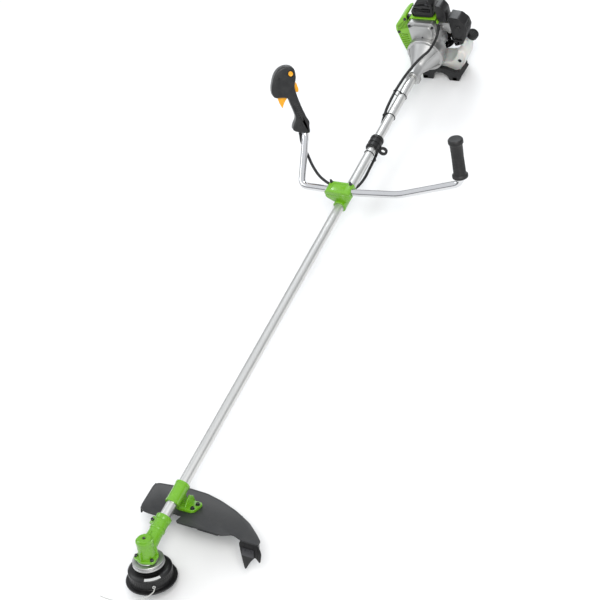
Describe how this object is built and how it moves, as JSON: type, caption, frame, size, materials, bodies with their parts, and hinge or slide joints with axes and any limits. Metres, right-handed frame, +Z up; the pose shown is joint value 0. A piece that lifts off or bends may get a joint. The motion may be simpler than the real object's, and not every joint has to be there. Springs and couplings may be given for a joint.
{
  "type": "string trimmer",
  "caption": "Petrol string trimmer with a long straight shaft, a bump-feed line head under a guard, a bike handlebar with a throttle grip, and a two-stroke engine on a stand.",
  "frame": {"origin": "centre of the bounding box at floor level, the free cutting line not counted", "axes": "+Z up, +Y along the shaft from the cutting head to the engine, +X to the operator's left"},
  "size_m": [0.5796, 1.9168, 0.3803],
  "materials": {
    "green_paint": "satin green powder coat",
    "green_plastic": "glossy green moulding",
    "satin_tube": "satin anodised tube",
    "cast_alloy": "as-cast alloy, fine grain",
    "chrome": "polished chrome plate",
    "steel": "machined steel",
    "dark_steel": "blackened steel",
    "black_plastic": "fine textured black moulding",
    "grey_plastic": "dark grey moulding with a slight sheen",
    "grip_rubber": "dark grey ribbed rubber",
    "yellow_plastic": "orange-yellow moulding",
    "white_tank": "milky white blow moulding",
    "clear_nylon": "pale translucent nylon"
  },
  "bodies": {
    "machine": {"shaft_tube": "satin_tube", "shaft_bush": "black_plastic", "gear_case": "green_paint", "gear_clamp_bolt": "dark_steel", "output_bearing": "steel", "guard_bracket": "green_paint", "guard": "grey_plastic", "guard_skirt": "black_plastic", "line_cutter_blade": "steel", "handlebar": "chrome", "bar_bracket": "green_paint", "bar_cap": "green_paint", "bar_bolt_1": "steel", "bar_bolt_2": "steel", "left_grip": "grip_rubber", "throttle_housing": "grey_plastic", "throttle_cover": "grey_plastic", "throttle_conduit": "black_plastic", "harness_clamp": "black_plastic", "clutch_housing": "cast_alloy", "crankcase": "cast_alloy", "crankshaft": "steel", "connecting_rod": "steel", "piston": "cast_alloy", "cylinder": "cast_alloy", "spark_plug": "steel", "plug_boot": "black_plastic", "engine_cover": "green_plastic", "muffler": "dark_steel", "muffler_cover": "green_plastic", "carburetor": "cast_alloy", "intake_cover": "black_plastic", "air_filter_cover": "black_plastic", "fuel_tank": "white_tank", "stand": "black_plastic", "starter_cover": "black_plastic"},
    "drive_line": {"drive_shaft": "steel", "pinion_gear": "steel", "clutch_drum": "steel"},
    "cutting_head": {"output_gear": "steel", "output_spindle": "steel", "flange_disc": "cast_alloy", "head_housing": "black_plastic", "head_cover": "black_plastic", "head_spring": "steel", "line_eyelet": "satin_tube", "trimmer_line": "clear_nylon"},
    "bump_feed": {"line_spool": "yellow_plastic", "bump_knob": "black_plastic"},
    "flywheel_group": {"flywheel": "cast_alloy", "clutch_shoes": "steel"},
    "trigger": {"throttle_trigger": "yellow_plastic"},
    "lockout": {"trigger_lockout": "yellow_plastic"},
    "stop": {"stop_button": "yellow_plastic"},
    "carburetor_arm": {"throttle_arm": "steel"},
    "choke": {"choke_lever": "black_plastic"},
    "primer": {"primer_bulb": "clear_nylon"},
    "tank_cap": {"fuel_cap": "black_plastic"},
    "starter": {"starter_handle": "black_plastic"}
  },
  "joints": [
    {"name": "head_spin", "type": "hinge", "parent": "machine", "child": "cutting_head", "pos_m": [-0.05466, -0.85208, 0.10603], "axis": [0, 0.3746, 0.9272], "continuous": true},
    {"name": "drive_spin", "type": "hinge", "parent": "machine", "child": "drive_line", "pos_m": [-0.05466, -0.85208, 0.10603], "axis": [0, 1, 0], "continuous": true},
    {"name": "bump_slide", "type": "slide", "parent": "cutting_head", "child": "bump_feed", "axis": [0, 0.3746, 0.9272], "range_m": [0, 0.005], "stiffness_N_per_m": 1500, "springref_m": -0.004, "deforming": ["head_spring"]},
    {"name": "flywheel_spin", "type": "hinge", "parent": "machine", "child": "flywheel_group", "pos_m": [-0.05466, 0.83492, 0.10603], "axis": [0, 1, 0], "continuous": true},
    {"name": "trigger_pull", "type": "hinge", "parent": "machine", "child": "trigger", "pos_m": [-0.26233, 0.39758, 0.31657], "axis": [0.6434, -0.6434, 0.4147], "range_deg": [0, 20], "stiffness_Nm_per_rad": 0.3, "springref_deg": -5.73},
    {"name": "throttle_arm_turn", "type": "hinge", "parent": "machine", "child": "carburetor_arm", "pos_m": [0.00634, 0.87192, 0.19103], "axis": [0, 0, -1], "range_deg": [0, 60]},
    {"name": "lockout_press", "type": "hinge", "parent": "machine", "child": "lockout", "pos_m": [-0.23236, 0.43574, 0.32928], "axis": [-0.6434, 0.6434, -0.4147], "range_deg": [0, 8], "stiffness_Nm_per_rad": 0.1, "springref_deg": -5.73},
    {"name": "stop_press", "type": "slide", "parent": "machine", "child": "stop", "axis": [-0.6434, 0.6434, -0.4147], "range_m": [0, 0.002], "stiffness_N_per_m": 500, "springref_m": -0.001},
    {"name": "choke_turn", "type": "hinge", "parent": "machine", "child": "choke", "pos_m": [0.03534, 0.84592, 0.13803], "axis": [0, -1, 0], "range_deg": [0, 60]},
    {"name": "primer_press", "type": "slide", "parent": "machine", "child": "primer", "axis": [0, 0, 1], "range_m": [0, 0.003], "stiffness_N_per_m": 500, "springref_m": -0.001},
    {"name": "fuel_cap_turn", "type": "hinge", "parent": "machine", "child": "tank_cap", "pos_m": [0.05434, 0.89992, 0.10803], "axis": [0.6, 0, 0.8], "range_deg": [0, 270]},
    {"name": "starter_pull", "type": "slide", "parent": "machine", "child": "starter", "axis": [0.6, 0, 0.8], "range_m": [0, 0.6], "stiffness_N_per_m": 8, "springref_m": -0.15}
  ],
  "couplings": [
    {"joint": "drive_spin", "follows": "head_spin", "ratio": -1.3571},
    {"joint": "throttle_arm_turn", "follows": "trigger_pull", "ratio": 3}
  ]
}
